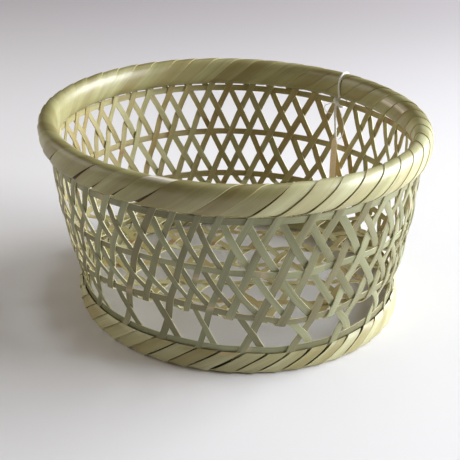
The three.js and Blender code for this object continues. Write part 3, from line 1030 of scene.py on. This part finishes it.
def wrap(bm, section, azimuth, advance, width_at, lift_at, split, finish=0):
    """One turn of a wrapping strip round a section, going on by so many degrees a millimetre."""
    reached = along_path(section)
    rows = []
    for i, point in enumerate(section):
        forward = (section[min(i + 1, len(section) - 1)] - section[max(i - 1, 0)]).normalized()
        out = Vector((forward.z, 0, -forward.x))
        share = reached[i] / reached[-1]
        row = []
        for across in WRAP_ACROSS:
            lifted = point + out * lift_at(across)
            turned = azimuth + reached[i] * advance + across * width_at(share)
            row.append(on_wall(turned, lifted.x, lifted.z))
        rows.append(row)
    draw_strip(bm, rows, around(azimuth, 1, 0), split, finish)


def wrap_start(first, turn):
    """Azimuth at which a turn of a wrap starts, the turns being counted from the first both ways."""
    return first + (turn - WRAPS if turn > WRAPS / 2 else turn) * 360 / WRAPS


def degrees_along(slant, radius):
    """Degrees round a ring for each millimetre up it, at a slant from level."""
    return math.degrees(1 / math.tan(math.radians(slant)) / radius)


# How much narrower the rim's wraps are at their outer lower ends, and how many millimetres they tilt
RIM_WRAP_GAPS = (
    (-180, 0.2),
    (-170, 0.22),
    (-114, 0.22),
    (-107, 0.06),
    (-92, 0.06),
    (-84, 0.15),
    (-62, 0.12),
    (-45, 0.03),
    (180, 0.05),
)
RIM_WRAP_TILTS = (
    (-180, 0.5),
    (-114, 0.5),
    (-107, -0.5),
    (-92, -0.5),
    (-84, 0.9),
    (-62, 0.8),
    (-45, 0.5),
    (180, 0.6),
)
# Wraps that show a joint of the cane: their number round the rim, and how far along them it lies
RIM_JOINTS = {32: 33, 0: 44.7, 1: 47}
BETWEEN_JOINTS = (0.01, 0.23)
# Where the wraps of the rim get a paler copy of their skin: painted light where the window falls on the front
# right of the rim
PAINTED_LIGHT_WRAPS = (-84, -15)


def rim_wrap_width(share, gap):
    """Degrees across a wrap of the rim, less at its outer lower end, where a gap opens."""
    return RIM_WRAP_WIDTH * (1 - gap * (1 - ease(share / RIM_GAP_REACH)))


def rim_wraps():
    section = rim_section()
    bm = bmesh.new()
    for turn in range(WRAPS):
        azimuth = wrap_start(RIM_WRAP_START, turn)
        azimuth += rng.uniform(-RIM_WRAP_STRAY, RIM_WRAP_STRAY)
        gap = straight(RIM_WRAP_GAPS, azimuth)
        tilt = straight(RIM_WRAP_TILTS, azimuth)
        slant = RIM_WRAP_SLANT + rng.uniform(-RIM_SLANT_STRAY, RIM_SLANT_STRAY)
        lift = rng.uniform(-RIM_LIFT_STRAY, RIM_LIFT_STRAY)
        along_cane = rng.uniform(*BETWEEN_JOINTS)
        split = rng.uniform(0, CANE_SPLITS)
        if turn in RIM_JOINTS:
            along_cane = JOINT_SPACING - RIM_JOINTS[turn] * MM
        wrap(
            bm,
            section,
            azimuth,
            degrees_along(slant, RIM_RADIUS),
            lambda share: rim_wrap_width(share, gap),
            lambda across: lift - tilt * across + RIM_WRAP_CROWN * crown(across),
            (along_cane, split),
            # the wraps on the front right take the paler skin, painted light
            PAINTED_LIGHT_FINISH if PAINTED_LIGHT_WRAPS[0] < azimuth < PAINTED_LIGHT_WRAPS[1] else 0,
        )
    piece = finish_piece("rim_wraps", bm, RIM_MATERIALS, "basket", ["rim_wrap"])
    give_thickness(piece, RIM_WRAP_THICKNESS, RIM_EASED_EDGE, pale_edge=True)


# How much narrower the foot's wraps are on their outer side than they are spaced, or wider where they lap
FOOT_WRAP_GAPS = (
    (-180, -0.05),
    (-122, -0.05),
    (-108, 0.11),
    (-92, 0.17),
    (-62, 0.22),
    (-20, 0.21),
    (20, 0.1),
    (180, 0.06),
)


def foot_wrap_width(share, gap):
    """Degrees across a wrap of the foot, with a gap beside it outside and lapped inside."""
    inside = ease((share - FOOT_GAP_FROM) / FOOT_GAP_REACH)
    return FOOT_WRAP_WIDTH * mix(1 - gap, 1 + FOOT_WRAP_LAP, inside)


def foot_wraps():
    section = foot_section()
    bm = bmesh.new()
    for turn in range(WRAPS):
        azimuth = wrap_start(FOOT_WRAP_START, turn)
        azimuth += rng.uniform(-FOOT_WRAP_STRAY, FOOT_WRAP_STRAY)
        gap = straight(FOOT_WRAP_GAPS, azimuth)
        slant = FOOT_WRAP_SLANT + rng.uniform(-FOOT_SLANT_STRAY, FOOT_SLANT_STRAY)
        wrap(
            bm,
            section,
            azimuth,
            -degrees_along(slant, FOOT_RADIUS),
            lambda share: foot_wrap_width(share, gap),
            foot_wrap_lift,
            split_from_cane(),
        )
    piece = finish_piece("foot_wraps", bm, FOOT_MATERIALS, "basket", ["foot_wrap"])
    give_thickness(piece, WRAP_THICKNESS, WRAP_EASED_EDGE)


# String and tag
STRING_DIAMETER = 1.2
STRING_SEEN = 1.7
THREAD_SEEN = 0.5
STRING_LAY = 4.2
STRING_STEP = 0.45
TAG_CROSSING = 3
TAG_GAP = WEAVE_TURN - LEG_TO_FLOOR_STRIP + (TAG_CROSSING + 0.5) * PITCH
TAG_AZIMUTH = TAG_GAP + drift_at(TAG_GAP, RIM_BOTTOM_Z)
RIM_OUTSIDE = 5.5
KNOT_DIAMETER = 2.8
TAG_DROP = 28
TAG_LENGTH = 32
TAG_WIDTH = 8
TAG_THICKNESS = 0.5
TAG_BOW = 0.6
TAG_HELD_IN = 2.4
STRING_AWAY = RIM_OUTSIDE + CLEARANCE + STRING_DIAMETER / 2
KNOT_INWARD = STRING_AWAY + STRING_DIAMETER / 2 + CLEARANCE + KNOT_DIAMETER / 2
LOOP_BOTTOM_Z = UPPER_HOOP_Z - HOOP_WIDTH / 2 - CLEARANCE - STRING_DIAMETER
LOOP_OVER_RIM = 0.95
# From the rim's outside in through the wall: offsets from it, and rises from the loop's bottom
LOOP_THROUGH = ((STRING_AWAY - 1.4, 2.4), (2.5, 0), (-3.5, 1.2))
CORNER_ROUNDS = 3
TAG_TIP = 3.0
TAG_TIP_SHARE = 0.45
TAG_STEP = 1
TAG_ACROSS = (1, 0.5, 0, -0.5, -1)
TAG_EASED_EDGE = 0.08
TAG_STRING_SWAY = (0, 0.15, 0.5, 0.75, 0.6, 0.2, -0.1, -0.1, 0, 0)
TAG_HOLE_DROP = 3.0
TAG_TURN = 27
KNOT_TURNS = 2.2
KNOT_COIL = 1.15
KNOT_LENGTH = 3.2
KNOT_STEPS = 40

OUTWARD = around(TAG_AZIMUTH, 1, 0)
ASIDE = around(TAG_AZIMUTH + 90, 1, 0)
TAG_ASIDE = around(TAG_AZIMUTH + 90 - TAG_TURN, 1, 0)
KNOT = on_wall(TAG_AZIMUTH, -KNOT_INWARD, RIM_BOTTOM_Z)


def smoothed(points, rounds):
    """The same open path with its corners cut, again and again."""
    for _ in range(rounds):
        cut = [points[0]]
        for a, b in zip(points, points[1:]):
            cut += [a.lerp(b, 0.25), a.lerp(b, 0.75)]
        points = cut + [points[-1]]
    return points


# Two fine ends of the knot: millimetres aside and down from it
LOOSE_ENDS = (
    ((0, 0), (5.5, 3.2), (9.4, 5.4), (9.6, 8.2), (6.2, 10.0), (1.2, 9.4)),
    ((0, 0), (-3.4, 4.5), (-6.8, 11), (-8.2, 18), (-6.6, 24.5), (-3.8, 27)),
)


def loose_end(places):
    route = [KNOT + ASIDE * aside - OUTWARD - Vector((0, 0, down)) for aside, down in places]
    return evenly(smoothed(route, CORNER_ROUNDS), STRING_STEP)


def knot_coil():
    """The string's turns round itself in the knot."""
    path = []
    for i in range(KNOT_STEPS + 1):
        share = i / KNOT_STEPS
        angle = 2 * math.pi * KNOT_TURNS * share
        turned = ASIDE * math.cos(angle) + OUTWARD * math.sin(angle)
        path.append(KNOT + turned * KNOT_COIL + Vector((0, 0, KNOT_LENGTH * (0.5 - share))))
    return path


def string_loop():
    """From the knot up over the rim, down outside, in under the upper hoop and back up to the knot."""
    over_rim = []
    for point in reversed(rim_section()):
        middle = Vector((0, 0, RIM_MIDDLE_Z))
        away = (point - middle).normalized() * LOOP_OVER_RIM
        over_rim.append(on_wall(TAG_AZIMUTH, point.x + away.x, point.z + away.z))
    through = [on_wall(TAG_AZIMUTH, offset, LOOP_BOTTOM_Z + rise) for offset, rise in LOOP_THROUGH]
    route = [KNOT] + over_rim[2:-1] + through + [KNOT]
    path = evenly(smoothed(route, CORNER_ROUNDS), STRING_STEP)
    bm = bmesh.new()
    draw_string(bm, path, ASIDE, STRING_SEEN / 2, STRING_LAY)
    draw_string(bm, knot_coil(), ASIDE, STRING_SEEN / 2, STRING_LAY)
    for end in LOOSE_ENDS:
        draw_string(bm, loose_end(end), OUTWARD, THREAD_SEEN / 2, STRING_LAY)
    finish_piece("string_round_rim", bm, (COTTON,), "basket", ["string_loop"])


def tag():
    """A narrow card, bowed a little, with its top corners cut off."""
    rows = []
    for drop in steps(0, TAG_LENGTH, TAG_STEP):
        share = drop / TAG_LENGTH
        half = TAG_WIDTH / 2 * mix(TAG_TIP_SHARE, 1, min(drop / TAG_TIP, 1))
        middle = KNOT - OUTWARD * (4 * TAG_BOW * share * (1 - share) + TAG_HELD_IN * share)
        middle.z -= TAG_DROP + drop
        rows.append([middle + TAG_ASIDE * half * side for side in TAG_ACROSS])
    bm = bmesh.new()
    draw_strip(bm, rows, OUTWARD, (0, 0))
    piece = finish_piece("hanging_tag", bm, CARD_MATERIALS, "hang_tag", ["tag"])
    give_thickness(piece, TAG_THICKNESS, TAG_EASED_EDGE)
    return piece


def tag_string(card):
    """The string from its knot down to the hole of the tag."""
    reach = TAG_DROP + TAG_HOLE_DROP
    last = len(TAG_STRING_SWAY) - 1
    route = [KNOT + ASIDE * sway - Vector((0, 0, reach * i / last)) for i, sway in enumerate(TAG_STRING_SWAY)]
    for point in route[-2:]:
        point += OUTWARD * (TAG_THICKNESS / 2 + STRING_DIAMETER / 2)
    path = evenly(smoothed(route, CORNER_ROUNDS), STRING_STEP)
    bm = bmesh.new()
    draw_string(bm, path, OUTWARD, STRING_SEEN / 2, STRING_LAY)
    piece = finish_piece("tag_cord", bm, (COTTON,), "hang_tag", ["tag_string"])


# The pieces
for index in range(STRIP_PAIRS):
    leg_pair(index)

floor_strips = [
    FloorStrip(direction, side, index)
    for direction in range(FLOOR_DIRECTIONS)
    for side in (1, -1)
    for index in range(FLOOR_STRIPS_PER_SIDE)
]
for strip in floor_strips:
    strip.weave(floor_strips)
for index, strip in enumerate(floor_strips):
    floor_strip(strip, index)

flat_hoop("hoop_upper", UPPER_HOOP_Z, 200)
flat_hoop("hoop_middle", MIDDLE_HOOP_Z, -80)
flat_hoop("hoop_floor", FLOOR_HOOP_Z, 100)
flat_hoop("hoop_foot", FOOT_HOOP_Z, 20)
rim_wraps()
foot_wraps()
string_loop()
tag_string(tag())

# The cores take the dark finish that stands as painted shade in the gaps between the wraps
for node in ("rim_hoop_inner", "rim_hoop_outer", "foot_core"):
    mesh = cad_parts[node].data
    mesh.materials.clear()
    mesh.materials.append(CORE)

# Camera
IMAGE_WIDTH = 460
SENSOR = 36.0
FOCAL_PIXELS = 996.9
CAMERA_DISTANCE = 0.6409
CAMERA_ELEVATION = 0.425
CAMERA_TARGET = Vector((0, 0, 0.06))
CAMERA_ROLL = 0.033
CAMERA_PAN = 0.002
CAMERA_TILT = 0.025
CAMERA_CLIP_START = 0.01
CAMERA_CLIP_END = 20


def place_camera():
    camera = bpy.data.cameras.new("camera")
    camera.sensor_width = SENSOR
    camera.lens = FOCAL_PIXELS * SENSOR / IMAGE_WIDTH
    camera.clip_start = CAMERA_CLIP_START
    camera.clip_end = CAMERA_CLIP_END
    back = Vector((0, -math.cos(CAMERA_ELEVATION), math.sin(CAMERA_ELEVATION)))
    right = Vector((1, 0, 0))
    down = -right.cross(-back)
    facing = Matrix((right, down, -back))
    turned = Matrix.Rotation(CAMERA_ROLL, 3, "Z") @ Matrix.Rotation(CAMERA_PAN, 3, "Y")
    turned = turned @ Matrix.Rotation(CAMERA_TILT, 3, "X") @ facing
    axes = Matrix((turned[0], -turned[1], -turned[2])).transposed()
    obj = bpy.data.objects.new("camera", camera)
    obj.matrix_world = Matrix.Translation(CAMERA_TARGET + back * CAMERA_DISTANCE) @ axes.to_4x4()
    bpy.context.scene.collection.objects.link(obj)
    bpy.context.scene.camera = obj


# Floor and light
FLOOR_HALF = 6.0
FLOOR_FADE_FROM = 0.1
FLOOR_FADE_TO = 0.9
# The floor fades from its near colour to a darker back: painted shade for the dimmer light far from the lamps
FLOOR_NEAR = srgb(232, 228, 227)
FLOOR_BACK_PAINTED_SHADE = srgb(181, 174, 175)
FLOOR_ROUGHNESS = 0.7
BACKDROP_FROM = 0.95
BACKDROP_TO = 1.6
BACKDROP = srgb(194, 191, 195)
ROOM_COLOR = (1.0, 0.95, 0.88)
ROOM_STRENGTH = 0.055
# Soft windows round the basket: place, what they face, size, power and colour
WINDOWS = {
    "window": ((2.06, 0.44, 0.88), (0, 0, 0.06), (2.2, 1.6), 125, (0.94, 1.0, 1.08)),
    "open_door": ((1.85, -0.6, 0.5), (0, 0, 0.05), (1.2, 1.0), 9, (1.0, 1.0, 1.0)),
    "soft_back": ((0.7, 0.9, 1.3), (0, 0, 0.05), (1.2, 0.9), 5.5, (1.0, 0.99, 0.96)),
    "pale_wall": ((-1.6, 0.1, 0.8), (0, 0, 0.05), (1.6, 1.3), 12.5, (1.0, 0.94, 0.85)),
}


def lay_floor():
    """A pale floor with painted shade that darkens it softly towards the back, and far off looks like a plain
    backdrop.
    """
    material, nodes, links = material_nodes("pale_floor")
    shader = nodes["Principled BSDF"]
    coordinate = add(nodes, "ShaderNodeTexCoord").outputs["Object"]
    split = add(nodes, "ShaderNodeSeparateXYZ")
    links.new(coordinate, split.inputs["Vector"])
    depth = add(nodes, "ShaderNodeMapRange", interpolation_type="SMOOTHSTEP")
    depth.inputs["From Min"].default_value = FLOOR_FADE_FROM
    depth.inputs["From Max"].default_value = FLOOR_FADE_TO
    links.new(split.outputs["Y"], depth.inputs["Value"])
    color = ramp(nodes, links, depth.outputs["Result"], ((0, FLOOR_NEAR), (1, FLOOR_BACK_PAINTED_SHADE)))
    links.new(color, shader.inputs["Base Color"])
    shader.inputs["Roughness"].default_value = FLOOR_ROUGHNESS
    away = add(nodes, "ShaderNodeVectorMath", operation="LENGTH")
    links.new(coordinate, away.inputs[0])
    far = add(nodes, "ShaderNodeMapRange", interpolation_type="SMOOTHSTEP")
    far.inputs["From Min"].default_value = BACKDROP_FROM
    far.inputs["From Max"].default_value = BACKDROP_TO
    links.new(away.outputs["Value"], far.inputs["Value"])
    seen = add(nodes, "ShaderNodeMath", operation="MULTIPLY")
    links.new(far.outputs["Result"], seen.inputs[0])
    links.new(add(nodes, "ShaderNodeLightPath").outputs["Is Camera Ray"], seen.inputs[1])
    backdrop = add(nodes, "ShaderNodeEmission")
    backdrop.inputs["Color"].default_value = (*BACKDROP, 1)
    blend = add(nodes, "ShaderNodeMixShader")
    links.new(seen.outputs["Value"], blend.inputs["Fac"])
    links.new(shader.outputs["BSDF"], blend.inputs[1])
    links.new(backdrop.outputs["Emission"], blend.inputs[2])
    links.new(blend.outputs["Shader"], nodes["Material Output"].inputs["Surface"])
    bm = bmesh.new()
    bmesh.ops.create_grid(bm, x_segments=1, y_segments=1, size=FLOOR_HALF)
    mesh = bpy.data.meshes.new("floor")
    bm.to_mesh(mesh)
    bm.free()
    mesh.materials.append(material)
    ground = bpy.data.objects.new("floor", mesh)
    bpy.context.scene.collection.objects.link(ground)


def add_window(name, position, target, size, power, color):
    lamp = bpy.data.lights.new(name, "AREA")
    lamp.shape = "RECTANGLE"
    lamp.size, lamp.size_y = size
    lamp.energy = power
    lamp.color = color
    obj = bpy.data.objects.new(name, lamp)
    obj.location = position
    obj.rotation_euler = (Vector(target) - Vector(position)).to_track_quat("-Z", "Y").to_euler()
    bpy.context.scene.collection.objects.link(obj)


def light_scene():
    world = bpy.data.worlds.new("soft_room")
    world.use_nodes = True
    nodes, links = world.node_tree.nodes, world.node_tree.links
    nodes["Background"].inputs["Color"].default_value = (*ROOM_COLOR, 1)
    nodes["Background"].inputs["Strength"].default_value = ROOM_STRENGTH
    backdrop = add(nodes, "ShaderNodeBackground")
    backdrop.inputs["Color"].default_value = (*BACKDROP, 1)
    blend = add(nodes, "ShaderNodeMixShader")
    links.new(add(nodes, "ShaderNodeLightPath").outputs["Is Camera Ray"], blend.inputs["Fac"])
    links.new(nodes["Background"].outputs["Background"], blend.inputs[1])
    links.new(backdrop.outputs["Background"], blend.inputs[2])
    links.new(blend.outputs["Shader"], nodes["World Output"].inputs["Surface"])
    bpy.context.scene.world = world
    for name, settings in WINDOWS.items():
        add_window(name, *settings)


place_camera()
lay_floor()
light_scene()
bpy.context.scene.view_settings.view_transform = "Standard"
